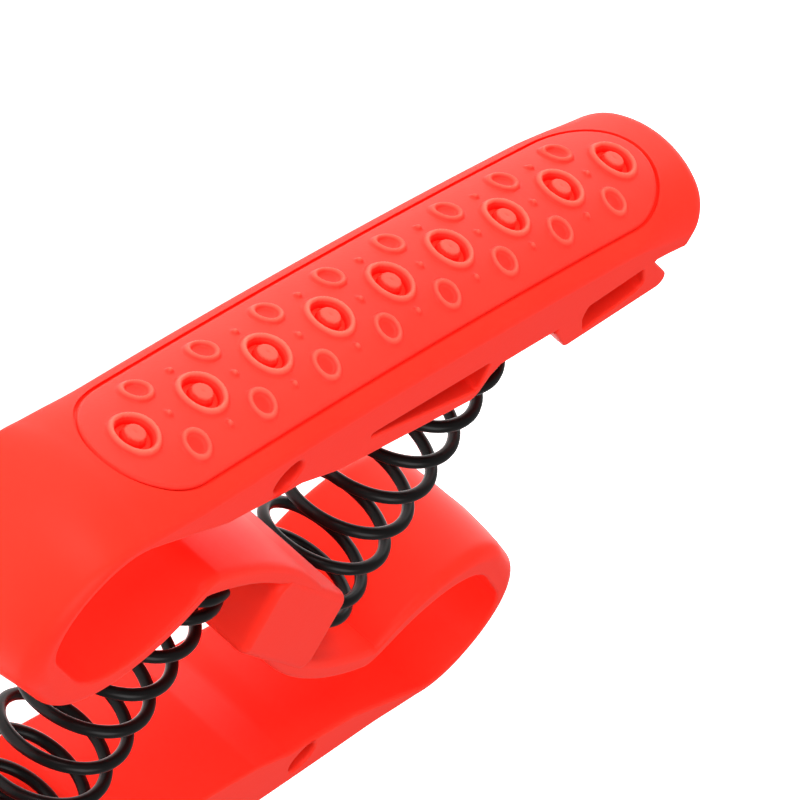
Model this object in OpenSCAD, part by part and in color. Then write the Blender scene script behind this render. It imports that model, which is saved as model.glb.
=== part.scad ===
// Spring hand gripper, lying on one flat side.
// x runs along the two grips, y across them, z is the width of the moulding.
// The lower half is the upper half turned half a turn about z.

/* [Body] */
// Width of the moulding, flat side to flat side
body_w = 18.4; // [17.6:0.2:20]
// Height from the middle of the tool to the crest of a grip
crest_y = 43.2; // [42.8:0.2:43.8]
// Radius of the crowned grip surface
crown_r = 13.4; // [12.6:0.2:18]
// Reach of a grip bar from the middle to its free end
bar_reach = 54.5; // [53:0.5:57]
// Radius of the free end of a bar, seen on the grip
bar_end_r = 11.6; // [10:0.1:16]
// Radius of the top corner at the free end
bar_nose_r = 4.2; // [1:0.2:5]
// Height of the flat underside of a bar
bar_under_y = 32.1; // [31.7:0.1:32.4]

// How far the grip falls away at its ends
arch_drop = 0.75; // [0:0.05:1]

/* [Bend] */
// Outer radius at the tip of the bend
tip_r = 13.2; // [12.8:0.1:13.5]
// Middle of that radius, along the tool
tip_x = -50.6; // [-51.2:0.1:-50]
// Outer radius of the belly of the bend
belly_r = 17.5; // [17.2:0.1:17.7]
// Inner radius at the tip of the bend
hollow_tip_r = 7.6; // [7.2:0.1:8]
// Inner radius of the belly of the bend
hollow_belly_r = 14.1; // [13.9:0.1:14.4]
// Running gap of the knuckle where the bend flexes
knuckle_gap = 0.2; // [0.15:0.05:0.4]

/* [Arm and block] */
// Crest of the corner between bend and arm
corner_y = 22.8; // [22.4:0.1:23.4]
// How far the arm bows up between its ends
arm_bow = 0.8; // [0:0.1:1.4]
// Half length of the middle block
block_half_l = 10.6; // [10.2:0.1:11]
// Height of the tall corner of the block
block_tall_y = 13.5; // [13.2:0.1:14]
// Height of the low corner of the same top face
block_low_y = -0.9; // [-1.6:0.1:0]
// Corner radius of the block
block_corner_r = 1.9; // [1:0.1:2.4]

/* [Grip pad] */
// Half length of the pad along the bar
pad_half_l = 49.8; // [46:0.2:50]
// Half width of the pad
pad_half_w = 7.8; // [7:0.1:8]
// Length of the rounded end of the pad
pad_end_l = 10.2; // [8:0.1:12]
// Depth of the pad in the bar
pad_depth = 1.6; // [1:0.1:2.2]

/* [Bar details] */
// Radius of the cord hole
cord_hole_r = 2.1; // [1.6:0.1:2.4]
// Place of the cord hole along the bar
cord_hole_x = -24.9; // [-26:0.1:-22]
// Height of the cord hole
cord_hole_y = 35.3; // [35.1:0.1:36]
// Lowest height of the keel under the bar
keel_low_y = 27.9; // [27.6:0.1:28.6]
// Lowest height of the end loop under the bar
loop_low_y = 27.1; // [26.8:0.1:27.8]

/* [Springs] */
// Wire thickness
wire_d = 1.45; // [1:0.05:1.6]
// Radius of the coil, to the middle of the wire
coil_r = 6.86; // [6.6:0.02:7]
// Rise of one free turn
coil_pitch = 5.39; // [5:0.01:6]
// Distance of a coil's foot from the middle of the tool
foot_x = 18.95; // [18.6:0.05:19.3]
// Lean of a coil at its foot, in degrees
foot_lean = 10.9; // [9:0.1:12]
// Lean of a coil at its head, in degrees
head_lean = 2.2; // [0.5:0.1:4]
// Radius of the pegs that centre the coils
peg_r = 4.6; // [4:0.1:5]
// Reach of a peg into its coil
peg_h = 2.4; // [1:0.1:3]

/* [Hidden] */
$fn = 72;
mid_z = body_w / 2;
split_x = -34;
tip_y = crest_y - tip_r;
belly_x = -43.1;
belly_y = 29.6;
hollow_tip_x = -51.9;
hollow_tip_y = tip_y + 0.1;
hollow_belly_x = -42;
hollow_belly_y = 29.9;
corner_x = -29.7;
arm_low_start = [-28.9, 19.3];
arm_low_end = [-9.6, 11];
hinge_out = tip_x - tip_r;
hinge_in = hollow_tip_x - hollow_tip_r;
hinge_x = (hinge_out + hinge_in) / 2;
hinge_y = tip_y;
knuckle_r = (hinge_in - hinge_out) / 2;
belly_end_a = 322;
root_y = bar_under_y + 0.9;
foot_y = -12;
loop_x = bar_reach - 26.9;
pocket_r = coil_r + wire_d / 2 + 0.45;
head_y = bar_under_y - wire_d / 2 - 0.15 - coil_r * sin(head_lean);
end_pitch = wire_d + 0.7;
end_turns = 0.75;
ease_turns = 0.5;
ring_sides = 6;
rings_per_turn = 8;
big = 200;

// ---- plane geometry ----

// Points of an arc, ends included.
function arc(cx, cy, r, a0, a1, n) =
  [for (i = [0:n]) [cx + r * cos(a0 + (a1 - a0) * i / n), cy + r * sin(a0 + (a1 - a0) * i / n)]];

// Direction in which two circles share a tangent on their lower left.
function tangent_a(x1, y1, r1, x2, y2, r2) =
  atan2(y1 - y2, x1 - x2) + 360 * (atan2(y1 - y2, x1 - x2) < 0 ? 1 : 0)
  + acos((r2 - r1) / norm([x1 - x2, y1 - y2]));

// Points of a bowed line, ends included.
function bow(p, q, s, n) =
  let (d = q - p, w = [-d[1], d[0]] / norm(d))
  [for (i = [0:n]) p + d * i / n + w * 4 * s * (i / n) * (1 - i / n)];

// One rounded corner of a polygon.
function corner(a, p, b, r, n) =
  let (
    u = (a - p) / norm(a - p),
    w = (b - p) / norm(b - p),
    h = acos(u * w) / 2,
    c = p + (u + w) / norm(u + w) * r / sin(h),
    s = p + u * r / tan(h) - c,
    e = p + w * r / tan(h) - c,
    a0 = atan2(s[1], s[0]),
    turn = atan2(s[0] * e[1] - s[1] * e[0], s * e)
  )
  [for (i = [0:n]) c + r * [cos(a0 + turn * i / n), sin(a0 + turn * i / n)]];

// A polygon with every corner rounded by its own radius.
function rounded(pts, rs, n) =
  let (k = len(pts))
  [for (i = [0:k - 1])
    each (rs[i] > 0 ? corner(pts[(i + k - 1) % k], pts[i], pts[(i + 1) % k], rs[i], n) : [pts[i]])];

outer_a = tangent_a(tip_x, tip_y, tip_r, belly_x, belly_y, belly_r);
inner_a = tangent_a(hollow_tip_x, hollow_tip_y, hollow_tip_r, hollow_belly_x, hollow_belly_y, hollow_belly_r);
belly_end = [belly_x + belly_r * cos(belly_end_a), belly_y + belly_r * sin(belly_end_a)];
root_slope_a = 75;

// Outer outline of the bend above the flex line.
module bend_top_outline() {
  polygon(concat(
    [[split_x, crest_y]],
    arc(tip_x, tip_y, tip_r, 90, 180, 24),
    [[hinge_in, hinge_y]],
    arc(hollow_tip_x, hollow_tip_y, hollow_tip_r, 180, root_slope_a, 24),
    [[split_x, root_y]]
  ));
}

// Outline of the bend below the flex line.
module bend_low_outline() {
  polygon(concat(
    [[hinge_out, hinge_y]],
    arc(tip_x, tip_y, tip_r, 181, outer_a, 12),
    arc(belly_x, belly_y, belly_r, outer_a, belly_end_a, 28),
    [[corner_x, corner_y]],
    arc(hollow_belly_x, hollow_belly_y, hollow_belly_r, belly_end_a, inner_a, 28),
    arc(hollow_tip_x, hollow_tip_y, hollow_tip_r, inner_a, 181, 12),
    [[hinge_in, hinge_y]]
  ));
}

// Side outline of the bar.
module bar_outline() {
  polygon(concat(
    [[split_x, root_y], [-24, bar_under_y], [27, bar_under_y]],
    [[31.7, bar_under_y + 1], [45, bar_under_y + 2.4], [bar_reach, bar_under_y + 2.9]],
    arc(bar_reach - bar_nose_r, crest_y - bar_nose_r, bar_nose_r, 0, 90, 10),
    [[split_x, crest_y]]
  ));
}

// Side outline of the slot between bar and keel.
module slot_outline() {
  polygon(rounded([[-9.4, 34.1], [-8.6, 33.4], [12.9, keel_low_y + 1.5], [12.3, 34.1]], [0.2, 0.2, 0.4, 0.6], 4));
}

// Side outline of the keel.
module keel_outline() {
  polygon(rounded(
    [[-18.4, 33], [-16.4, keel_low_y + 2.6], [14.5, keel_low_y - 0.1], [15.3, 30.9], [17, 33]],
    [0, 1, 1.6, 1, 0], 6));
}

// Side outline of the end loop.
module loop_outline() {
  polygon(rounded(
    [[loop_x, 36], [loop_x + 0.1, 31.4], [loop_x + 5, loop_low_y + 0.1], [loop_x + 24.4, loop_low_y + 1.2],
      [loop_x + 23.4, 30.3], [loop_x + 17.8, 34.6], [loop_x + 16.4, 36]],
    [0, 1, 1.2, 1.1, 1.4, 0, 0], 6));
}

// Side outline of the window in the end loop.
module window_outline() {
  polygon(rounded(
    [[loop_x + 4.7, 36], [loop_x + 5.2, 31.4], [loop_x + 7.3, loop_low_y + 1.9],
      [loop_x + 18.3, loop_low_y + 3.8], [loop_x + 15, 35.2], [loop_x + 15, 36]],
    [0, 0.6, 0.9, 0.9, 0.5, 0], 6));
}

// Side outline of the arm between bend and block.
module arm_outline() {
  polygon(concat(
    [belly_end],
    bow(arm_low_start, arm_low_end, arm_bow, 16),
    [[-1.4, block_tall_y - 8]],
    bow([-2.2, block_tall_y - 4.9], [corner_x, corner_y], -arm_bow - 0.9, 16)
  ));
}

// Side outline of the middle block.
module block_outline() {
  polygon(rounded(
    [[-block_half_l, block_tall_y], [block_half_l, block_low_y], [block_half_l, -block_tall_y], [-block_half_l, -block_low_y]],
    [block_corner_r, block_corner_r, block_corner_r, block_corner_r], 8));
}

// Outline of a pad seen on the grip.
module pad_outline() {
  c = pad_half_l - pad_end_l;
  polygon(concat(
    [for (i = [0:24]) [c + pad_end_l * cos(i * 7.5 - 90), pad_half_w * sin(i * 7.5 - 90)]],
    [for (i = [0:24]) [-c - pad_end_l * cos(i * 7.5 - 90), -pad_half_w * sin(i * 7.5 - 90)]]
  ));
}

// ---- shared solids ----

module slab() {
  linear_extrude(height = body_w) children();
}

// Round bar along the grip whose skin is the crowned surface.
module crown(r) {
  translate([0, crest_y - crown_r, mid_z]) rotate([0, 90, 0]) cylinder(h = 2 * big, r = r, center = true, $fn = 144);
}

// Slab whose top follows the lengthwise arch of the grip.
module arch_slab() {
  slab() polygon(concat(
    [[big, 0], [big, crest_y - 3]],
    [for (x = [70:-4:-70]) [x, crest_y - arch_drop * x * x / (bar_reach * bar_reach)]],
    [[-big, crest_y - 3], [-big, 0]]
  ));
}

// Straight column under the pad outline.
module pad_column() {
  translate([0, crest_y - 6, mid_z]) rotate([-90, 0, 0]) linear_extrude(height = 12) pad_outline();
}

// Room in the bar that the pad fills.
module pad_seat() {
  difference() {
    pad_column();
    crown(crown_r - pad_depth);
  }
}

// Column whose round side shapes the free end of a bar.
module bar_end_column() {
  union() {
    translate([bar_reach - bar_end_r, 20, mid_z]) rotate([-90, 0, 0]) cylinder(h = 40, r = bar_end_r, $fn = 144);
    translate([-big, 20, -1]) cube([big + bar_reach - bar_end_r, 40, body_w + 2]);
  }
}

// Round room for the head of a coil between keel and end loop.
module coil_pocket() {
  translate([head_x, 20, mid_z]) rotate([-90, 0, 0]) cylinder(h = 20, r = pocket_r);
}

module knuckle(r) {
  translate([hinge_x, hinge_y, -1]) cylinder(h = body_w + 2, r = r);
}

module half_turn() {
  rotate([0, 0, 180]) children();
}

// ---- springs ----

// The middle line of a coil bends evenly from the lean at its foot to the lean at its head.
lean_change = (head_lean - foot_lean) * PI / 180;
coil_l = (head_y - foot_y) * lean_change / (sin(head_lean) - sin(foot_lean));
head_x = foot_x + axis_point(coil_l)[0];
coil_turns = (coil_l + (coil_pitch - end_pitch) * (2 * end_turns + ease_turns)) / coil_pitch;
ring_count = ceil(coil_turns * rings_per_turn);

// Extra rise after u turns, counted from either end.
function ease(u) =
  u < end_turns ? 0
  : u < end_turns + ease_turns ? (u - end_turns) * (u - end_turns) / (2 * ease_turns)
  : u - end_turns - ease_turns / 2;
function half_rise(u) = end_pitch * u + (coil_pitch - end_pitch) * ease(u);
function rise(u) = u < coil_turns / 2 ? half_rise(u) : coil_l - half_rise(coil_turns - u);

function lean(l) = foot_lean + (head_lean - foot_lean) * l / coil_l;
function axis_point(l) =
  [(cos(foot_lean) - cos(lean(l))) * coil_l / lean_change, (sin(lean(l)) - sin(foot_lean)) * coil_l / lean_change, 0];
// Turns p, given from a coil's foot, to the coil's lean after l.
function leaned(p, l) =
  [p[0] * cos(lean(l)) + p[1] * sin(lean(l)), p[1] * cos(lean(l)) - p[0] * sin(lean(l)), p[2]];

// Line of the wire's middle: start angle s, turns u.
function coil_point(s, u) =
  axis_point(rise(u)) + leaned([coil_r * cos(s + 360 * u), 0, -coil_r * sin(s + 360 * u)], rise(u));

// Ring of the wire about one point of the middle line.
function wire_ring(s, u) =
  let (a = s + 360 * u, p = coil_point(s, u), slope = atan2(coil_pitch, 2 * PI * coil_r) * 0.8)
  [for (k = [0:ring_sides - 1])
    let (g = 360 * k / ring_sides, o = wire_d / 2 * cos(g), v = wire_d / 2 * sin(g))
    p + leaned([o * cos(a) + v * sin(slope) * sin(a), v * cos(slope), -o * sin(a) + v * sin(slope) * cos(a)], rise(u))];

module coil(s) {
  n = ring_count;
  m = ring_sides;
  pts = [for (i = [0:n]) each wire_ring(s, coil_turns * i / n)];
  sides = [for (i = [0:n - 1], k = [0:m - 1], t = [0, 1])
    t == 0
      ? [i * m + k, (i + 1) * m + k, (i + 1) * m + (k + 1) % m]
      : [i * m + k, (i + 1) * m + (k + 1) % m, i * m + (k + 1) % m]];
  first = [for (k = [1:m - 2]) [0, k, k + 1]];
  last = [for (k = [1:m - 2]) [n * m, n * m + k + 1, n * m + k]];
  polyhedron(points = pts, faces = concat(sides, first, last), convexity = 10);
}

// Least gap of a coil to itself, from points more than half a turn apart.
coil_gap = min([for (i = [0:ring_count], j = [0:ring_count])
  if (j - i > rings_per_turn / 2)
    norm(coil_point(0, coil_turns * i / ring_count) - coil_point(0, coil_turns * j / ring_count))]) - wire_d;
echo(least_gap_of_coil_to_itself_mm = coil_gap);

// ---- pieces ----

module upper_handle() {
  color([0.86, 0.05, 0.03])
  difference() {
    intersection() {
      slab() bar_outline();
      arch_slab();
      crown(crown_r);
      bar_end_column();
    }
    translate([0, 0, -1]) linear_extrude(height = body_w + 2) slot_outline();
    pad_seat();
    translate([cord_hole_x, cord_hole_y, -1]) cylinder(h = body_w + 2, r = cord_hole_r);
  }
}

module lower_handle() {
  half_turn() upper_handle();
}

module upper_grip_pad() {
  color([0.95, 0.1, 0.08])
  difference() {
    intersection() {
      pad_column();
      arch_slab();
      crown(crown_r);
    }
    crown(crown_r - pad_depth);
  }
}

module lower_grip_pad() {
  half_turn() upper_grip_pad();
}

module upper_bend_handle_side() {
  color([0.86, 0.05, 0.03])
  difference() {
    intersection() {
      slab() bend_top_outline();
      arch_slab();
      crown(crown_r);
    }
    pad_seat();
    knuckle(knuckle_r + knuckle_gap);
  }
}

module lower_bend_handle_side() {
  half_turn() upper_bend_handle_side();
}

module upper_bend_arm_side() {
  color([0.8, 0.04, 0.03])
  union() {
    slab() bend_low_outline();
    translate([hinge_x, hinge_y, 0]) cylinder(h = body_w, r = knuckle_r);
  }
}

module lower_bend_arm_side() {
  half_turn() upper_bend_arm_side();
}

module upper_arm() {
  color([0.8, 0.04, 0.03])
  slab() difference() {
    arm_outline();
    block_outline();
  }
}

module lower_arm() {
  half_turn() upper_arm();
}

module centre_block() {
  color([0.82, 0.04, 0.03])
  slab() block_outline();
}

module upper_end_loop() {
  color([0.8, 0.04, 0.03])
  difference() {
    intersection() {
      slab() difference() {
        loop_outline();
        bar_outline();
        window_outline();
      }
      bar_end_column();
    }
    coil_pocket();
  }
}

module lower_end_loop() {
  half_turn() upper_end_loop();
}

module upper_keel() {
  color([0.8, 0.04, 0.03])
  difference() {
    slab() difference() {
      keel_outline();
      bar_outline();
      slot_outline();
    }
    coil_pocket();
  }
}

module lower_keel() {
  half_turn() upper_keel();
}

// Coil between the lower arm and the upper bar.
module right_spring() {
  color([0.06, 0.06, 0.06])
  translate([foot_x, foot_y, mid_z]) coil(right_start_a);
}

// Coil between the lower bar and the upper arm.
module left_spring() {
  color([0.06, 0.06, 0.06])
  half_turn() translate([foot_x, foot_y, mid_z]) coil(left_start_a);
}

right_start_a = 190.4;
left_start_a = 255.4;

// Peg under the bar that centres the top of the right coil.
module right_peg_handle() {
  color([0.8, 0.04, 0.03])
  translate([head_x, bar_under_y - peg_h, mid_z]) rotate([-90, 0, 0]) cylinder(h = peg_h, r = peg_r);
}

module left_peg_handle() {
  half_turn() right_peg_handle();
}

// Peg on the lower arm that centres the foot of the right coil.
module right_peg_arm() {
  color([0.8, 0.04, 0.03])
  difference() {
    translate([foot_x, foot_y, mid_z]) rotate([0, 0, -foot_lean]) rotate([-90, 0, 0])
      translate([0, 0, -9]) cylinder(h = peg_h + 7, r = peg_r);
    translate([0, 0, -1]) linear_extrude(height = body_w + 2) below_arm_top_outline();
  }
}

module left_peg_arm() {
  half_turn() right_peg_arm();
}

// Everything below the top face of the lower arm, which ends the peg on it.
module below_arm_top_outline() {
  polygon(concat(
    [for (p = bow(arm_low_start, arm_low_end, arm_bow, 16)) -p],
    [[-arm_low_end[0], -40], [-arm_low_start[0], -40]]
  ));
}

upper_handle();
lower_handle();
upper_grip_pad();
lower_grip_pad();
upper_bend_handle_side();
lower_bend_handle_side();
upper_bend_arm_side();
lower_bend_arm_side();
upper_arm();
lower_arm();
centre_block();
upper_end_loop();
lower_end_loop();
upper_keel();
lower_keel();
right_spring();
left_spring();
right_peg_handle();
left_peg_handle();
right_peg_arm();
left_peg_arm();
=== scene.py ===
import math

import bpy
import numpy as np
from mathutils import Matrix, Vector


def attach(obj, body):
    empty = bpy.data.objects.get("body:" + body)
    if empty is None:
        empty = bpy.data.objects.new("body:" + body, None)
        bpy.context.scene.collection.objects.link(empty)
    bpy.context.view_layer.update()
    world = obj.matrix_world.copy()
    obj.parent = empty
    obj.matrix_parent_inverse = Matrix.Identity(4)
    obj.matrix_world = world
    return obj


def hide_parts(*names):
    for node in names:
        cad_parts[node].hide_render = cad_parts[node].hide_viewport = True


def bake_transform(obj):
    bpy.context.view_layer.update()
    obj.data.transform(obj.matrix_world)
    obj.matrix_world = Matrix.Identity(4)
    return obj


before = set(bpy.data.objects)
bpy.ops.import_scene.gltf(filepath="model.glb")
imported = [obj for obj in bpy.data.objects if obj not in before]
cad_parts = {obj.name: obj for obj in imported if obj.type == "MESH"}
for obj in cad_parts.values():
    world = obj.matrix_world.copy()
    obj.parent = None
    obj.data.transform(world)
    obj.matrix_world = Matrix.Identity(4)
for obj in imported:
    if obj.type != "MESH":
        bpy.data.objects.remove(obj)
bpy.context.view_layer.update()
bpy.ops.object.select_all(action="DESELECT")


# ---- The studio ----
# A pale table top that runs out to a pale room, soft light from large panels,
# and a long lens that looks along the tool from behind one bend.

camera_right = (0.55998, 0.39351, 0.72909)
camera_up = (0.33440, 0.69778, -0.63346)
camera_back = (-0.75802, 0.59854, 0.25915)
camera_place = (-0.51294, 0.43758, 0.19181)
bpy.ops.object.camera_add()
camera = bpy.context.object
camera.name = "camera"
camera.data.sensor_width = 36.0
camera.data.lens = 292.5
camera.data.clip_start = 0.02
camera.data.clip_end = 20.0
camera.matrix_world = Matrix((
    (camera_right[0], camera_up[0], camera_back[0], camera_place[0]),
    (camera_right[1], camera_up[1], camera_back[1], camera_place[1]),
    (camera_right[2], camera_up[2], camera_back[2], camera_place[2]),
    (0.0, 0.0, 0.0, 1.0),
))
bpy.context.scene.camera = camera
bpy.context.scene.view_settings.view_transform = "Standard"

room = bpy.data.worlds.new("pale_room")
room.use_nodes = True
room.node_tree.nodes["Background"].inputs["Color"].default_value = (1.0, 1.0, 1.0, 1.0)
room.node_tree.nodes["Background"].inputs["Strength"].default_value = 0.38
bpy.context.scene.world = room

bpy.ops.mesh.primitive_plane_add(size=8.0, location=(0.0, 0.0, -0.0003))
table = bpy.context.object
table.name = "table_top"
paper = bpy.data.materials.new("white_paper")
paper.use_nodes = True
paper_shader = paper.node_tree.nodes["Principled BSDF"]
paper_shader.inputs["Base Color"].default_value = (0.95, 0.95, 0.95, 1.0)
paper_shader.inputs["Roughness"].default_value = 0.9
paper_shader.inputs["Emission Color"].default_value = (1.0, 1.0, 1.0, 1.0)
paper_shader.inputs["Emission Strength"].default_value = 1.2
table.data.materials.append(paper)


def light_panel(name, place, aim, size, power):
    """A square soft light that faces a point."""
    bpy.ops.object.light_add(type="AREA", location=place)
    panel = bpy.context.object
    panel.name = name
    panel.data.shape = "SQUARE"
    panel.data.size = size
    panel.data.energy = power
    panel.rotation_euler = (Vector(place) - Vector(aim)).to_track_quat("Z", "Y").to_euler()


tool_middle = (0.0, 0.0, 0.01)
light_panel("key_panel", (-0.35, 0.85, 0.12), tool_middle, size=0.35, power=3.7)
light_panel("top_panel", (-0.25, 0.15, 0.90), tool_middle, size=0.6, power=6.0)


# ---- Upper half of the moulding ----
# Grip bar, bend and arm are one piece of red plastic from a two-part mould, with rounded rims,
# a crowned grip, a slot, a cord hole and a loop. Lengths in this section are in millimetres.

mm = 0.001
half_w = 9.2
near_extra = 0.36
flat_band_w = 0.14
under_y = 32.1

# The grip: its crest, its crown across the bar, and the free end.
crest_y = 43.4
arch_drop = 2.03
crown_span = 11.0
crown_square = 0.34
crown_fourth = 0.18
bar_reach = 56.3
bar_end_r = 22.0
bar_corner_r = 4.0
crest_start_x = 43.0
end_root_x = 45.4
end_root_y = 34.5
end_slope = 0.12
end_hollow_h = 1.0
end_hollow_full_x = 48.5
end_hollow_close = (51.0, 52.6)
end_hollow_sides = (7.0, 8.6)
end_edge_r = 0.4

# Rim radii round the outline.
shoulder_r = 0.5
bar_nose_r = 2.5
bend_rim_r = 1.9
arm_rim_r = 0.9
hollow_rim_r = 0.35
inner_rim_r = 0.6
small_rim_r = 0.35
slot_rim_r = 0.3
cord_rim_r = 0.45

# Stretches, from and to, of the way from the middle of the grip round the bend. The nose's is along x
# and the belly's is an angle.
crown_first_fade = (40.0, 60.0)
crown_last_fade = (70.0, 100.0)
bend_fall_grows = (45.0, 52.0)
bend_fall_fades = (75.0, 95.0)
bend_rim_grows = (48.0, 82.0)
nose_rim_grows = (38.0, 53.0)
belly_rim_fades = (255.0, 318.0)

# The bend and its hollow, each of two arcs: middle x, middle y, radius. Angles are in degrees.
tip = (-50.6, 30.0, 13.2)
belly = (-43.1, 29.6, 17.5)
belly_end_turn = 322
hollow_tip = (-51.9, 30.1, 7.6)
hollow_belly = (-42.0, 29.9, 14.1)
hollow_start_turn = 318

# The arm: where its top leaves the block, and its corner at the hollow.
arm_top_root = (-2.2, 8.6)
arm_corner = (-29.7, 22.8)
arm_corner_r = 3.2
arm_corner_back = 6


def arc(cx, cy, r, a0, a1, n):
    """Points of an arc in degrees, ends included."""
    a = np.radians(np.linspace(a0, a1, n + 1))
    return np.stack([cx + r * np.cos(a), cy + r * np.sin(a)], 1)


def bowed(p, q, s, n):
    """Points of a line that bows out by s, ends included."""
    p, q = np.array(p, float), np.array(q, float)
    f = np.linspace(0.0, 1.0, n + 1)[:, None]
    side = np.array([-(q - p)[1], (q - p)[0]]) / np.linalg.norm(q - p)
    return p + (q - p) * f + side * 4 * s * f * (1 - f)


def rounded(points, radii, n):
    """A run of corners, each rounded by its own radius. The first and last corner stay sharp."""
    out = []
    for i, (p, r) in enumerate(zip(points, radii)):
        p = np.array(p, float)
        if r <= 0 or i in (0, len(points) - 1):
            out.append(p[None])
            continue
        u = np.array(points[i - 1], float) - p
        w = np.array(points[i + 1], float) - p
        u, w = u / np.linalg.norm(u), w / np.linalg.norm(w)
        h = math.acos(float(np.clip(u @ w, -1, 1))) / 2
        c = p + (u + w) / np.linalg.norm(u + w) * r / math.sin(h)
        s, e = p + u * r / math.tan(h) - c, p + w * r / math.tan(h) - c
        a0 = math.atan2(s[1], s[0])
        turn = math.atan2(s[0] * e[1] - s[1] * e[0], float(s @ e))
        a = a0 + turn * np.linspace(0.0, 1.0, n + 1)
        out.append(c + r * np.stack([np.cos(a), np.sin(a)], 1))
    return np.concatenate(out)


def spaced(points, step):
    """The same run with extra points, so that none is further than step from the next."""
    out = [points[0]]
    for p, q in zip(points[:-1], points[1:]):
        n = max(1, math.ceil(np.linalg.norm(q - p) / step))
        out += [p + (q - p) * k / n for k in range(1, n + 1)]
    return np.array(out)


def tangent_angle(a, b):
    """Direction in which two circles share a tangent on their lower left."""
    d = np.array(a[:2]) - np.array(b[:2])
    line_turn = math.degrees(math.atan2(d[1], d[0])) % 360
    return line_turn + math.degrees(math.acos((b[2] - a[2]) / np.linalg.norm(d)))


def widened(t, extra=near_extra):
    """The side that faces up in the frame stands a little further out than the other."""
    return np.where(t > 0, t * (1 + extra / half_w), t)


def smooth_step(v, lo, hi):
    """Rises from 0 at lo to 1 at hi, level at both ends."""
    f = np.clip((v - lo) / (hi - lo), 0, 1)
    return f * f * (3 - 2 * f)


def crown_drop(t):
    """How far the grip surface falls away at the distance t from its middle line."""
    v = np.abs(t) / crown_span
    return crown_span * (crown_square * v**2 + crown_fourth * v**4)


def crown_share(run):
    """How much of the crown is left after this much of the way from the middle round the bend."""
    first, last = 0.58, 0.42
    return 1 - first * smooth_step(run, *crown_first_fade) - last * smooth_step(run, *crown_last_fade)


def bend_fall(run):
    """Even slope of the bend's outer face towards both flat sides, for a stretch of the way."""
    steepest = 0.035
    return steepest * smooth_step(run, *bend_fall_grows) * (1 - smooth_step(run, *bend_fall_fades))


def round_over(e, r):
    """How far a rim rounded by r falls away at the distance e inside its edge."""
    e = np.clip(e, 0, r)
    return r - np.sqrt(np.maximum(r * r - (r - e) ** 2, 0))


def crest(x):
    """Height of the grip's middle line."""
    return crest_y - arch_drop * (x / bar_reach) ** 2


# Plan of the bar's free end: reach at each distance from the middle line.
end_x = bar_reach - bar_end_r
corner_mid_t = half_w - bar_corner_r
corner_mid_x = end_x + math.sqrt((bar_end_r - bar_corner_r) ** 2 - corner_mid_t**2)
corner_turn = math.degrees(math.atan2(corner_mid_t, corner_mid_x - end_x))
end_plan = np.concatenate([
    arc(end_x, 0, bar_end_r, 0, corner_turn, 24),
    arc(corner_mid_x, corner_mid_t, bar_corner_r, corner_turn, 90, 24)[1:],
])
end_edge = np.concatenate([end_plan, [[20.0, half_w]]])


def end_reach(t):
    """How far the bar reaches at the distance t from its middle line."""
    return np.interp(np.abs(t), end_plan[:, 1], end_plan[:, 0])


def edge_distance(x, t):
    """Distance of a plan point inside the bar to the bar's edge."""
    p = np.stack([x, np.abs(t)], -1)[..., None, :]
    a, b = end_edge[:-1], end_edge[1:]
    f = np.clip(((p - a) * (b - a)).sum(-1) / ((b - a) ** 2).sum(-1), 0, 1)[..., None]
    return np.linalg.norm(p - a - f * (b - a), axis=-1).min(-1)


# Lanes across the moulding, closer together towards both flat sides.
lanes = 44
lane_sine = np.sin(np.linspace(-90, 90, lanes + 1) * math.pi / 180)


def outline_normals(points):
    """Outward normal at each point of a closed run that goes round to the left."""
    d = np.roll(points, -1, 0) - points
    n = np.stack([d[:, 1], -d[:, 0]], 1) / np.linalg.norm(d, axis=1)[:, None]
    m = n + np.roll(n, 1, 0)
    return m / np.linalg.norm(m, axis=1)[:, None]


def rimmed_rows(points, rim, crown=None, fall=None, width=half_w, open_run=False, extra=near_extra):
    """Rows across the moulding: each outline point, dropped towards both flat sides by its rim radius.

    A grip also has, at each point, a share of the crown and an even fall to both sides.
    """
    n = outline_normals(points)
    if open_run:
        n[0], n[-1] = n[1], n[-2]
    rim = np.broadcast_to(rim, len(points))[:, None]
    t = np.broadcast_to(lane_sine * width, (len(points), lanes + 1))
    drop = round_over(width - np.abs(t), rim)
    if crown is not None:
        drop = drop + crown_drop(t) * crown[:, None] + np.abs(t) * fall[:, None]
    p = points[:, None] - n[:, None] * drop[..., None]
    return np.dstack([p, widened(t, extra)])


def with_flat_borders(rows):
    """Adds a narrow flat band on each side, so that the rims shade apart from the flat sides."""
    sides = []
    for k in (0, -1):
        p = rows[:, k, :2]
        sides.append(np.column_stack([p - outline_normals(p) * flat_band_w, rows[:, k, 2]])[:, None])
    return np.concatenate([sides[0], rows, sides[1]], 1)


def tube_from_rows(name, rows):
    """A closed band of quads through the rows."""
    n, k = rows.shape[:2]
    bpy.ops.mesh.primitive_grid_add(x_subdivisions=n, y_subdivisions=k - 1, size=2.0)
    band = bpy.context.object
    band.name = name
    v = np.array([q.co for q in band.data.vertices])
    i = np.rint((v[:, 0] + 1) / 2 * n).astype(int) % n
    j = np.rint((v[:, 1] + 1) / 2 * (k - 1)).astype(int)
    p = rows[i, j]
    band.data.vertices.foreach_set("co", p.astype(np.float32).ravel())
    band.data.update()
    return band


def joined(name, objects):
    """One object made of several."""
    bpy.ops.object.select_all(action="DESELECT")
    for o in objects:
        o.select_set(True)
    bpy.context.view_layer.objects.active = objects[0]
    bpy.ops.object.join()
    objects[0].name = name
    return objects[0]


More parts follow.
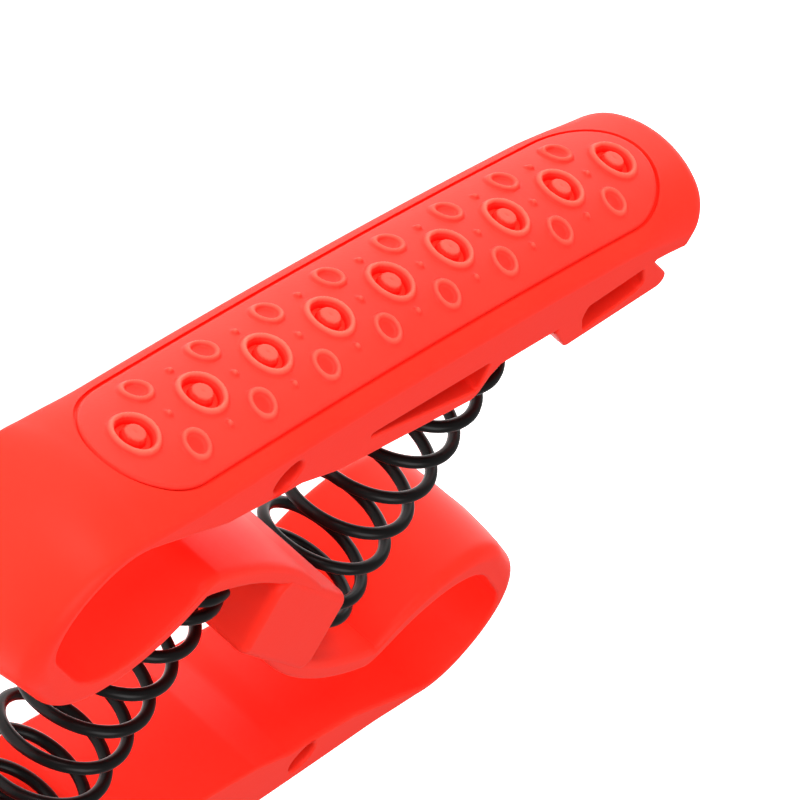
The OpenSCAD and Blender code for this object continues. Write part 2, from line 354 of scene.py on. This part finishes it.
def close_flat_sides(piece):
    """Merges the bands' seams and fills each flat side between all its outlines."""
    bpy.ops.object.select_all(action="DESELECT")
    piece.select_set(True)
    bpy.context.view_layer.objects.active = piece
    bpy.ops.object.mode_set(mode="EDIT")
    bpy.ops.mesh.select_all(action="SELECT")
    bpy.ops.mesh.remove_doubles(threshold=0.0005)
    for side in (-1, 1):
        bpy.ops.mesh.select_mode(type="EDGE")
        bpy.ops.mesh.select_all(action="DESELECT")
        bpy.ops.object.mode_set(mode="OBJECT")
        mesh = piece.data
        counts = np.zeros(len(mesh.edges), int)
        for loop in mesh.loops:
            counts[loop.edge_index] += 1
        z = np.array([v.co.z for v in mesh.vertices])
        for e in mesh.edges:
            a, b = e.vertices
            if counts[e.index] == 1 and z[a] * side > 0 and z[b] * side > 0:
                e.select = True
        bpy.ops.object.mode_set(mode="EDIT")
        bpy.ops.mesh.fill(use_beauty=True)
    bpy.ops.mesh.select_all(action="SELECT")
    bpy.ops.mesh.normals_make_consistent(inside=False)
    bpy.ops.object.mode_set(mode="OBJECT")


def apply_modifier(piece, kind, **settings):
    """Adds one modifier to a piece and applies it."""
    bpy.ops.object.select_all(action="DESELECT")
    piece.select_set(True)
    bpy.context.view_layer.objects.active = piece
    bpy.ops.object.modifier_add(type=kind)
    m = piece.modifiers[-1]
    for key, value in settings.items():
        setattr(m, key, value)
    bpy.ops.object.modifier_apply(modifier=m.name)


def cut(piece, tool, operation="DIFFERENCE"):
    """Takes a tool out of a piece, or joins it on, and clears the tool away."""
    apply_modifier(piece, "BOOLEAN", operation=operation, object=tool, solver="EXACT")
    bpy.data.objects.remove(tool)


# The outline goes round to the left: free end, crest, bend, arm, hollow, underside, keel, loop.
top_x = np.linspace(crest_start_x, tip[0], 96)
crest_run = np.stack([top_x, crest(top_x)], 1)
turn = tangent_angle(tip, belly)
tip_run = arc(*tip, 90, turn, 70)[1:]
tip_fall = tip[1] + tip[2] - crest(tip[0])
tip_run[:, 1] -= tip_fall * np.cos(np.radians(np.linspace(0, 90, 71)[1:]))
belly_run = arc(*belly, turn, belly_end_turn, 80)
arm_under = bowed((-28.9, 19.3), (-9.6, 11.0), 0.8, 30)
arm_root = spaced(rounded(
    [(-7.8, 9.0), (-6.0, 7.0), (1.5, 1.5), (3.6, 3.7), arm_top_root],
    (0, 0, 1.3, 1.3, 0), 10), 1.0)
arm_top = bowed(arm_top_root, arm_corner, -1.7, 40)
hollow_turn = tangent_angle(hollow_tip, hollow_belly)
hollow_run = np.concatenate([
    arc(*hollow_belly, hollow_start_turn, hollow_turn, 70),
    arc(*hollow_tip, hollow_turn, 75, 90)[1:],
])
corner_run = rounded(
    [tuple(arm_top[-arm_corner_back]), arm_corner, tuple(hollow_run[0])],
    (0, arm_corner_r, 0), 20)
under_run = spaced(np.array([(-34.0, 33.0), (-24.0, under_y), (-21.0, under_y)]), 1.0)
keel_run = rounded(
    [(-20.5, under_y), (-12.5, 30.15), (14.5, 27.8), (15.3, 30.9), (16.4, under_y)],
    (0, 6, 1.6, 1, 0), 8)
loop_run = rounded(
    [(27.6, under_y), (27.7, 31.4), (32.6, 27.2), (52.0, 28.3), (51.0, 30.3), (end_root_x, end_root_y)],
    (0, 1, 1.2, 1.1, 1.4, 0), 8)
outline_runs = [
    (crest_run, shoulder_r),
    (tip_run, shoulder_r),
    (belly_run[1:], bend_rim_r),
    (arm_under, arm_rim_r),
    (arm_root, arm_rim_r),
    (arm_top[1:-arm_corner_back], arm_rim_r),
    (corner_run[:-1], arm_rim_r),
    (hollow_run, hollow_rim_r),
    (under_run, inner_rim_r),
    (spaced(keel_run, 1.5), small_rim_r),
    (spaced(loop_run, 1.5), small_rim_r),
]


def nose_radius(x):
    """The far end of the bar is rounded over more and more towards its nose."""
    return shoulder_r + (bar_nose_r - shoulder_r) * smooth_step(x, *nose_rim_grows)


# The rim grows round the bend and towards the nose, and shrinks again towards the arm.
points = np.concatenate([run for run, r in outline_runs])
rim = np.concatenate([np.full(len(run), r) for run, r in outline_runs])
way = np.cumsum(np.linalg.norm(np.diff(points, axis=0, prepend=points[:1]), axis=1)) - points[0, 0]
crest_rows = len(crest_run)
bend_rows = crest_rows + len(tip_run)
belly_rows = slice(bend_rows, bend_rows + len(belly_run) - 1)
rim[:bend_rows] = shoulder_r + (bend_rim_r - shoulder_r) * smooth_step(way[:bend_rows], *bend_rim_grows)
rim[:crest_rows] += nose_radius(points[:crest_rows, 0]) - shoulder_r
belly_turn = np.degrees(np.arctan2(
    points[belly_rows, 1] - belly[1], points[belly_rows, 0] - belly[0])) % 360
rim[belly_rows] = bend_rim_r - (bend_rim_r - arm_rim_r) * smooth_step(belly_turn, *belly_rim_fades)


def eased(values, count):
    """Evens out jumps along the run."""
    kernel = np.hanning(count + 2)[1:-1]
    kernel /= kernel.sum()
    padded = np.pad(values, count // 2, mode="edge")
    return np.convolve(padded, kernel, mode="valid")[:len(values)]


eased_from = 60
rim[eased_from:] = eased(rim, 9)[eased_from:]
rows = rimmed_rows(points, rim, crown_share(way), bend_fall(way), open_run=True)

# The free end: nose and end face follow the plan of the end, and the underside runs out to it.
t_end = lane_sine * half_w
reach = end_reach(t_end)


def end_under(x):
    """Underside of the free end: a shallow hollow behind the end wall."""
    hollow = smooth_step(x, end_root_x, end_hollow_full_x) * (1 - smooth_step(x, *end_hollow_close))
    inside = 1 - 0.9 * smooth_step(np.abs(t_end), *end_hollow_sides)
    return end_root_y - end_slope * (x - end_root_x) + end_hollow_h * inside * hollow


end_rows = []
for f in np.linspace(0, 1, 30)[1:-1]:
    x = end_root_x + (reach - end_root_x) * f
    y = end_under(x) + round_over(edge_distance(x, t_end), end_edge_r)
    end_rows.append(np.stack([x, y, widened(t_end)], 1))
lip = crest(reach) - crown_drop(t_end) - nose_radius(reach)
low = end_under(reach) + end_edge_r
for f in np.linspace(0, 1, 7):
    end_rows.append(np.stack([reach, low + (lip - low) * f, widened(t_end)], 1))
for f in np.sin(np.linspace(90, 0, 30)[1:-1] * math.pi / 180):
    x = crest_start_x + (reach - crest_start_x) * f
    y = crest(x) - crown_drop(t_end) - round_over(edge_distance(x, t_end), nose_radius(x))
    end_rows.append(np.stack([x, y, widened(t_end)], 1))
rows = np.concatenate([rows, np.array(end_rows)])

slot_hole = rounded(
    [(1.8, 33.9), (-9.4, 33.9), (-8.6, 33.3), (13.8, 29.5), (13.3, 33.9), (1.8, 33.9)],
    (0, 0.25, 0.25, 0.5, 0.7, 0), 6)[:-1]
window_hole = rounded(
    [(33.0, 32.2), (33.3, 31.2), (35.2, 28.6), (46.0, 30.6),
     (43.3, 34.2), (33.0, 33.2), (33.0, 32.2)],
    (0, 0.6, 0.9, 0.9, 0.5, 0.3, 0), 6)[:-1]
cord_hole_x = -24.9
cord_hole_y = 35.3
cord_hole_r = 2.1
cord_hole = arc(cord_hole_x, cord_hole_y, cord_hole_r, 360, 0, 56)[:-1]

bands = [tube_from_rows("outline_band", with_flat_borders(rows))]
for name, hole, r in (
        ("slot_band", slot_hole, slot_rim_r),
        ("window_band", window_hole, slot_rim_r),
        ("cord_band", cord_hole, cord_rim_r)):
    area = np.sum(hole[:, 0] * np.roll(hole[:, 1], -1) - np.roll(hole[:, 0], -1) * hole[:, 1])
    ring = hole if area < 0 else hole[::-1]
    bands.append(tube_from_rows(name, with_flat_borders(rimmed_rows(ring, r))))
upper_half = joined("upper_half", bands)
close_flat_sides(upper_half)


# Round pegs centre a coil at the bar and at the arm, and the coil's head has a round pocket. The
# coil's middle line leans more at its foot, on the arm, than at its head, under the bar.
foot_x = 18.95
foot_y = -12.0
foot_lean = math.radians(10.9)
head_lean = math.radians(2.2)
wire_r = 0.725
coil_r = 6.86
coil_room = 0.45
head_gap = 0.15
peg_r = 4.6
peg_h = 2.4
peg_root = 1.5
peg_edge_r = 0.5
# The arm's peg leans with the coil's foot, so its middle is shifted along the arm.
arm_peg_shift = 0.54
arm_peg_low = 11.6
arm_peg_high = 16.2
pocket_r = coil_r + wire_r + coil_room
pocket_floor = 0.12
pocket_tool_h = 12.0
peg_clearance = 0.02
head_y = under_y - wire_r - head_gap - coil_r * math.sin(head_lean)
coil_l = (head_y - foot_y) * (head_lean - foot_lean) / (math.sin(head_lean) - math.sin(foot_lean))


def axis_point(l):
    """Place and lean of a coil's middle line, which bends evenly from foot to head."""
    lean = foot_lean + (head_lean - foot_lean) * l / coil_l
    bend_r = coil_l / (head_lean - foot_lean)
    x = foot_x + (math.cos(foot_lean) - np.cos(lean)) * bend_r
    y = foot_y + (np.sin(lean) - math.sin(foot_lean)) * bend_r
    return x, y, lean


head_x = float(axis_point(coil_l)[0])


def peg(x, y_low, y_high, lean=0.0):
    """A round peg with a softened lower end, standing along the coil."""
    middle = (y_low + y_high) / 2
    bpy.ops.mesh.primitive_cylinder_add(
        vertices=96, radius=peg_r, depth=y_high - y_low,
        location=(x, middle, 0.0), rotation=(math.pi / 2, 0.0, -lean))
    tool = bpy.context.object
    bpy.ops.object.transform_apply(location=True, rotation=True, scale=True)
    bpy.ops.object.mode_set(mode="EDIT")
    bpy.ops.mesh.select_mode(type="FACE")
    bpy.ops.mesh.select_all(action="DESELECT")
    bpy.ops.object.mode_set(mode="OBJECT")
    for face in tool.data.polygons:
        if face.normal.y < -0.9:
            face.select = True
    bpy.ops.object.mode_set(mode="EDIT")
    bpy.ops.mesh.bevel(offset=peg_edge_r, segments=4, affect="EDGES")
    bpy.ops.object.mode_set(mode="OBJECT")
    return tool


bpy.ops.object.select_all(action="DESELECT")
cut(upper_half, peg(head_x, under_y - peg_h, under_y + peg_root), "UNION")
cut(upper_half, peg(-foot_x + arm_peg_shift, arm_peg_low, arm_peg_high, foot_lean), "UNION")


def pad_reach(t, half_l, half_wide, end_l):
    """Half length of the pad's outline at the distance t from its middle line."""
    return half_l - end_l + end_l * np.sqrt(np.maximum(1 - (t / half_wide) ** 2, 0))


def pad_skin(name, half_l, half_wide, end_l, count_x, count_t, depth_of):
    """A sheet over the pad's outline, at a depth from the grip surface, and its x and t values."""
    bpy.ops.mesh.primitive_grid_add(x_subdivisions=count_x, y_subdivisions=count_t, size=2.0)
    sheet = bpy.context.object
    sheet.name = name
    v = np.array([q.co for q in sheet.data.vertices])
    t = half_wide * np.sin(v[:, 1] * math.pi / 2)
    x = v[:, 0] * pad_reach(t, half_l, half_wide, end_l)
    y = crest(x) - crown_drop(t) * crown_share(np.maximum(-x, 0)) + depth_of(x, t)
    sheet.data.vertices.foreach_set("co", np.stack([x, y, t], 1).astype(np.float32).ravel())
    sheet.data.update()
    return sheet, x, t


pad_half_l = 49.8
pad_half_w = 7.8
pad_end_l = 10.2
seat_depth = 0.5
seat_tool_h = 6.0
seat = pad_skin(
    "pad_seat_tool", pad_half_l, pad_half_w, pad_end_l, 160, 40,
    lambda x, t: np.full_like(x, -seat_depth))[0]
bpy.ops.object.mode_set(mode="EDIT")
bpy.ops.mesh.select_all(action="SELECT")
bpy.ops.mesh.extrude_region_move(TRANSFORM_OT_translate={"value": (0.0, seat_tool_h, 0.0)})
bpy.ops.mesh.select_all(action="SELECT")
bpy.ops.mesh.normals_make_consistent(inside=False)
bpy.ops.object.mode_set(mode="OBJECT")
cut(upper_half, seat)

pocket_place = (head_x, under_y + pocket_floor - pocket_tool_h / 2, 0.0)
bpy.ops.mesh.primitive_cylinder_add(
    vertices=128, radius=pocket_r, depth=pocket_tool_h,
    location=pocket_place, rotation=(math.pi / 2, 0.0, 0.0))
pocket = bpy.context.object
bpy.ops.mesh.primitive_cylinder_add(
    vertices=96, radius=peg_r + peg_clearance, depth=pocket_tool_h + 2.0,
    location=pocket_place, rotation=(math.pi / 2, 0.0, 0.0))
cut(pocket, bpy.context.object)
cut(upper_half, pocket)


def settle(piece, turned=False):
    """Brings a piece from millimetres on its middle plane to its place, and shades it by angle."""
    piece.data.transform(Matrix.Scale(mm, 4))
    piece.data.transform(Matrix.Translation((0.0, 0.0, half_w * mm)))
    if turned:
        piece.data.transform(Matrix.Rotation(math.pi, 4, "Z"))
    bpy.ops.object.select_all(action="DESELECT")
    piece.select_set(True)
    bpy.context.view_layer.objects.active = piece
    bpy.ops.object.transform_apply(location=True, rotation=True, scale=True)
    bpy.ops.object.shade_smooth_by_angle(angle=math.radians(32.0))


def turned_copy(piece, name):
    """The same piece on the other half, half a turn round."""
    twin = piece.copy()
    twin.data = piece.data.copy()
    twin.name = name
    bpy.context.collection.objects.link(twin)
    twin.data.transform(Matrix.Rotation(math.pi, 4, "Z"))
    return twin


settle(upper_half)
relief_reach = 0.7


def moulded_red(name, colour, grain_scale, grain, rough, relief_shade_and_highlight=None):
    """Red plastic with a faint cloud in its colour and gloss and the fine grain of the mould.

    Where the mesh carries its relief, the red is multiplied by painted light: painted shade makes the
    hollows a deeper red and a painted highlight makes the crests a paler one.
    """
    m = bpy.data.materials.new(name)
    m.use_nodes = True
    nodes, links = m.node_tree.nodes, m.node_tree.links
    shader = nodes["Principled BSDF"]
    shader.inputs["Specular IOR Level"].default_value = 0.07
    shader.inputs["Subsurface Weight"].default_value = 0.12
    shader.inputs["Subsurface Radius"].default_value = (1.0, 0.12, 0.08)
    shader.inputs["Subsurface Scale"].default_value = 0.0012
    place = nodes.new("ShaderNodeTexCoord")
    cloud = nodes.new("ShaderNodeTexNoise")
    cloud.inputs["Scale"].default_value = 60.0
    cloud.inputs["Detail"].default_value = 3.0
    links.new(place.outputs["Object"], cloud.inputs["Vector"])
    tint = nodes.new("ShaderNodeMix")
    tint.data_type = "RGBA"
    tint.inputs["A"].default_value = colour
    tint.inputs["B"].default_value = (colour[0] * 1.05, colour[1] * 1.45, colour[2] * 1.45, 1.0)
    links.new(cloud.outputs["Fac"], tint.inputs["Factor"])
    base = tint.outputs["Result"]
    # Painted light from the relief's height: painted shade in its hollows, a painted highlight on its
    # crests.
    if relief_shade_and_highlight:
        relief = nodes.new("ShaderNodeAttribute")
        relief.attribute_name = "relief"
        tone = nodes.new("ShaderNodeMapRange")
        tone.inputs["From Min"].default_value = -relief_reach
        tone.inputs["From Max"].default_value = relief_reach
        links.new(relief.outputs["Fac"], tone.inputs["Value"])
        ramp = nodes.new("ShaderNodeValToRGB")
        while len(ramp.color_ramp.elements) < len(relief_shade_and_highlight):
            ramp.color_ramp.elements.new(0.5)
        for stop, (height, painted_light_factor) in zip(ramp.color_ramp.elements, relief_shade_and_highlight):
            stop.position = (height + relief_reach) / (2 * relief_reach)
            stop.color = painted_light_factor
        links.new(tone.outputs["Result"], ramp.inputs["Fac"])
        with_painted_light = nodes.new("ShaderNodeMix")
        with_painted_light.data_type = "RGBA"
        with_painted_light.blend_type = "MULTIPLY"
        with_painted_light.inputs["Factor"].default_value = 1.0
        links.new(base, with_painted_light.inputs["A"])
        links.new(ramp.outputs["Color"], with_painted_light.inputs["B"])
        base = with_painted_light.outputs["Result"]
    links.new(base, shader.inputs["Base Color"])
    gloss = nodes.new("ShaderNodeMapRange")
    gloss.inputs["To Min"].default_value = rough - 0.05
    gloss.inputs["To Max"].default_value = rough + 0.05
    links.new(cloud.outputs["Fac"], gloss.inputs["Value"])
    links.new(gloss.outputs["Result"], shader.inputs["Roughness"])
    fine = nodes.new("ShaderNodeTexNoise")
    fine.inputs["Scale"].default_value = grain_scale
    fine.inputs["Detail"].default_value = 2.0
    links.new(place.outputs["Object"], fine.inputs["Vector"])
    bump = nodes.new("ShaderNodeBump")
    bump.inputs["Strength"].default_value = grain
    bump.inputs["Distance"].default_value = 0.0001
    links.new(fine.outputs["Fac"], bump.inputs["Height"])
    links.new(bump.outputs["Normal"], shader.inputs["Normal"])
    return m


body_red = moulded_red(
    "body_red_plastic", (0.96, 0.024, 0.0125, 1.0), grain_scale=1400.0, grain=0.10, rough=0.42)
upper_half.data.materials.clear()
upper_half.data.materials.append(body_red)
lower_half = turned_copy(upper_half, "lower_half")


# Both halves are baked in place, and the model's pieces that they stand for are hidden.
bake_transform(upper_half)
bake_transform(lower_half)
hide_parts("upper_handle", "upper_bend_handle_side", "upper_bend_arm_side", "upper_arm",
            "upper_keel", "upper_end_loop", "right_peg_handle", "left_peg_arm")
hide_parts("lower_handle", "lower_bend_handle_side", "lower_bend_arm_side", "lower_arm",
            "lower_keel", "lower_end_loop", "left_peg_handle", "right_peg_arm")


# ---- Centre block ----
# The stout skewed block in the middle of the S, where both arms run out.
# It is the same red plastic, with round corners and softly rounded rims.

block_half_l = 10.6
block_corner_r = 1.9
block_rim_r = 1.1
block_half_w = half_w + 0.05
block_near_extra = 0.47
block_corners = [
    (0.0, 6.3), (-block_half_l, 13.5), (-block_half_l, 0.9),
    (block_half_l, -13.5), (block_half_l, -0.9), (0.0, 6.3)]
block_radii = (0, block_corner_r, block_corner_r, block_corner_r, block_corner_r, 0)
block_run = spaced(rounded(block_corners, block_radii, 12)[:-1], 1.0)
block_rows = rimmed_rows(block_run, block_rim_r, width=block_half_w, extra=block_near_extra)
block = tube_from_rows("centre_block_skin", with_flat_borders(block_rows))
close_flat_sides(block)
settle(block)
block.data.materials.clear()
block.data.materials.append(body_red)
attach(block, "link")
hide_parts("centre_block")


# ---- Grip pads ----
# A red pad is set flush in each grip, inside a narrow seam. Its relief is moulded: a row of
# ringed buttons, small rings on both sides and dots between them.

ring_pitch = 11.0
ring_row = np.arange(-4, 5) * ring_pitch
small_row = np.arange(-3.5, 4) * ring_pitch
small_side = 4.18
seam = 0.40
pad_edge_r = 0.34
pad_lift = 0.03
pad_skirt = 0.12

# Profiles from the middle outwards: distance and height.
big_ring = np.array([
    (0.0, 0.34), (0.12, 0.36), (0.30, 0.42), (1.00, 0.42), (1.14, 0.37), (1.24, 0.22),
    (1.34, -0.46), (1.44, -0.66), (1.90, -0.68), (2.00, -0.58), (2.10, -0.05), (2.22, 0.36),
    (2.38, 0.56), (2.54, 0.61), (2.70, 0.54), (2.84, 0.30), (2.96, 0.08), (3.10, 0.0)])
small_ring = np.array([
    (0.0, -0.08), (0.7, -0.07), (0.98, -0.02), (1.12, 0.16), (1.30, 0.42),
    (1.48, 0.50), (1.66, 0.42), (1.82, 0.16), (1.98, 0.0)])
dot = np.array([(0.0, 0.46), (0.14, 0.43), (0.28, 0.32), (0.40, 0.14), (0.54, 0.0)])


def grip_relief(x, t):
    """Height of the relief over the pad."""
    h = np.zeros_like(x)
    places = [(cx, 0.0, big_ring) for cx in ring_row]
    places += [(cx, side * small_side, small_ring) for cx in small_row for side in (-1, 1)]
    places += [(cx, 0.0, dot) for cx in small_row]
    places += [(cx, side * small_side, dot) for cx in ring_row[1:-1] for side in (-1, 1)]
    for cx, ct, profile in places:
        d = np.hypot(x - cx, t - ct)
        near = d < profile[-1, 0]
        h[near] += np.interp(d[near], profile[:, 0], profile[:, 1])
    return h


def pad_edge_distance(x, t):
    """About how far a point of the pad is from the pad's outline."""
    side = pad_half_w - np.abs(t)
    over = np.maximum(np.abs(x) - (pad_half_l - pad_end_l), 0)
    r = np.hypot(over / pad_end_l, t / pad_half_w)
    round_end = (1 - r) * (pad_half_w + (pad_end_l - pad_half_w) * over / pad_end_l)
    return np.where(over > 0, round_end, side)


pad, pad_x, pad_t = pad_skin(
    "upper_pad_skin", pad_half_l - seam, pad_half_w - seam, pad_end_l - seam, 660, 112,
    lambda x, t: grip_relief(x, t) - round_over(pad_edge_distance(x, t) - seam, pad_edge_r) + pad_lift)
relief_heights = pad.data.attributes.new("relief", "FLOAT", "POINT")
relief_heights.data.foreach_set("value", grip_relief(pad_x, pad_t).astype(np.float32))
bpy.ops.object.mode_set(mode="EDIT")
bpy.ops.mesh.select_all(action="DESELECT")
bpy.ops.mesh.select_non_manifold(extend=False)
bpy.ops.mesh.extrude_region_move(TRANSFORM_OT_translate={"value": (0.0, -pad_skirt, 0.0)})
bpy.ops.mesh.fill(use_beauty=False)
bpy.ops.mesh.select_all(action="SELECT")
bpy.ops.mesh.normals_make_consistent(inside=False)
bpy.ops.object.mode_set(mode="OBJECT")
settle(pad)

# Painted light on the relief: a height, and what the red there is multiplied by, painted shade in the
# hollows and a painted highlight on the crests.
pad_shade_and_highlight = (
    (-0.60, (0.97, 0.05, 0.05, 1.0)), (-0.12, (1.0, 0.30, 0.28, 1.0)), (0.0, (1.0, 0.52, 0.50, 1.0)),
    (0.18, (1.0, 0.42, 0.40, 1.0)), (0.46, (1.0, 1.25, 1.25, 1.0)), (0.60, (1.0, 1.75, 1.75, 1.0)))
pad_red = moulded_red(
    "pad_red_plastic", (0.95, 0.060, 0.040, 1.0), grain_scale=2200.0, grain=0.16, rough=0.40,
    relief_shade_and_highlight=pad_shade_and_highlight)
pad.data.materials.clear()
pad.data.materials.append(pad_red)
lower_pad = turned_copy(pad, "lower_pad_skin")
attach(pad, "upper_handle")
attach(lower_pad, "lower_handle")
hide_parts("upper_grip_pad")
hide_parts("lower_grip_pad")


# ---- Springs ----
# Two compression springs of black coated wire, wound right-handed, with closer turns at both ends.
# Each stands between the arm of one half and the grip of the other.

coil_pitch = 5.39
end_pitch = 2.15
end_turns = 0.75
ease_turns = 0.5
steps_per_turn = 72
right_start = 190.4
left_start = 255.4
coil_turns = (coil_l + (coil_pitch - end_pitch) * (2 * end_turns + ease_turns)) / coil_pitch


def half_rise(u):
    """Rise after u turns from an end."""
    open_turns = np.maximum(u - end_turns, 0.0)
    opened = np.where(
        open_turns < ease_turns, open_turns**2 / (2 * ease_turns), open_turns - ease_turns / 2)
    return end_pitch * u + (coil_pitch - end_pitch) * opened


def coil(name, start, turned=False):
    """A round wire wound along the coil's middle line, from the angle start in degrees."""
    u = np.linspace(0, coil_turns, int(coil_turns * steps_per_turn) + 1)
    rise = np.where(u < coil_turns / 2, half_rise(u), coil_l - half_rise(coil_turns - u))
    a = np.radians(start) + 2 * math.pi * u
    x, y, lean = axis_point(rise)
    side = coil_r * np.cos(a)
    line = np.stack([
        x + side * np.cos(lean), y - side * np.sin(lean), -coil_r * np.sin(a), np.ones_like(u)], 1)
    data = bpy.data.curves.new(name, "CURVE")
    data.dimensions = "3D"
    spline = data.splines.new("POLY")
    spline.points.add(len(u) - 1)
    spline.points.foreach_set("co", line.ravel())
    data.bevel_depth = wire_r
    data.bevel_resolution = 5
    data.use_fill_caps = True
    wire = bpy.data.objects.new(name, data)
    bpy.context.collection.objects.link(wire)
    bpy.ops.object.select_all(action="DESELECT")
    wire.select_set(True)
    bpy.context.view_layer.objects.active = wire
    bpy.ops.object.convert(target="MESH")
    wire = bpy.context.object
    bpy.ops.object.mode_set(mode="EDIT")
    bpy.ops.mesh.select_all(action="SELECT")
    bpy.ops.mesh.remove_doubles(threshold=0.0005)
    bpy.ops.mesh.normals_make_consistent(inside=False)
    bpy.ops.object.mode_set(mode="OBJECT")
    settle(wire, turned)
    return wire


right_coil = coil("right_coil", right_start)
left_coil = coil("left_coil", left_start, turned=True)

wire_black = bpy.data.materials.new("black_spring_wire")
wire_black.use_nodes = True
wire_nodes, wire_links = wire_black.node_tree.nodes, wire_black.node_tree.links
wire_shader = wire_nodes["Principled BSDF"]
wire_shader.inputs["Specular IOR Level"].default_value = 0.14
wire_place = wire_nodes.new("ShaderNodeTexCoord")
wire_cloud = wire_nodes.new("ShaderNodeTexNoise")
wire_cloud.inputs["Scale"].default_value = 420.0
wire_cloud.inputs["Detail"].default_value = 3.0
wire_links.new(wire_place.outputs["Object"], wire_cloud.inputs["Vector"])
wire_tint = wire_nodes.new("ShaderNodeMix")
wire_tint.data_type = "RGBA"
wire_tint.inputs["A"].default_value = (0.002, 0.002, 0.002, 1.0)
wire_tint.inputs["B"].default_value = (0.007, 0.006, 0.006, 1.0)
wire_links.new(wire_cloud.outputs["Fac"], wire_tint.inputs["Factor"])
wire_links.new(wire_tint.outputs["Result"], wire_shader.inputs["Base Color"])
wire_gloss = wire_nodes.new("ShaderNodeMapRange")
wire_gloss.inputs["To Min"].default_value = 0.26
wire_gloss.inputs["To Max"].default_value = 0.36
wire_links.new(wire_cloud.outputs["Fac"], wire_gloss.inputs["Value"])
wire_links.new(wire_gloss.outputs["Result"], wire_shader.inputs["Roughness"])
wire_bump = wire_nodes.new("ShaderNodeBump")
wire_bump.inputs["Strength"].default_value = 0.08
wire_bump.inputs["Distance"].default_value = 0.0001
wire_links.new(wire_cloud.outputs["Fac"], wire_bump.inputs["Height"])
wire_links.new(wire_bump.outputs["Normal"], wire_shader.inputs["Normal"])
for spring in (right_coil, left_coil):
    spring.data.materials.clear()
    spring.data.materials.append(wire_black)
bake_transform(right_coil)
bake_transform(left_coil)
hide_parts("right_spring")
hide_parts("left_spring")
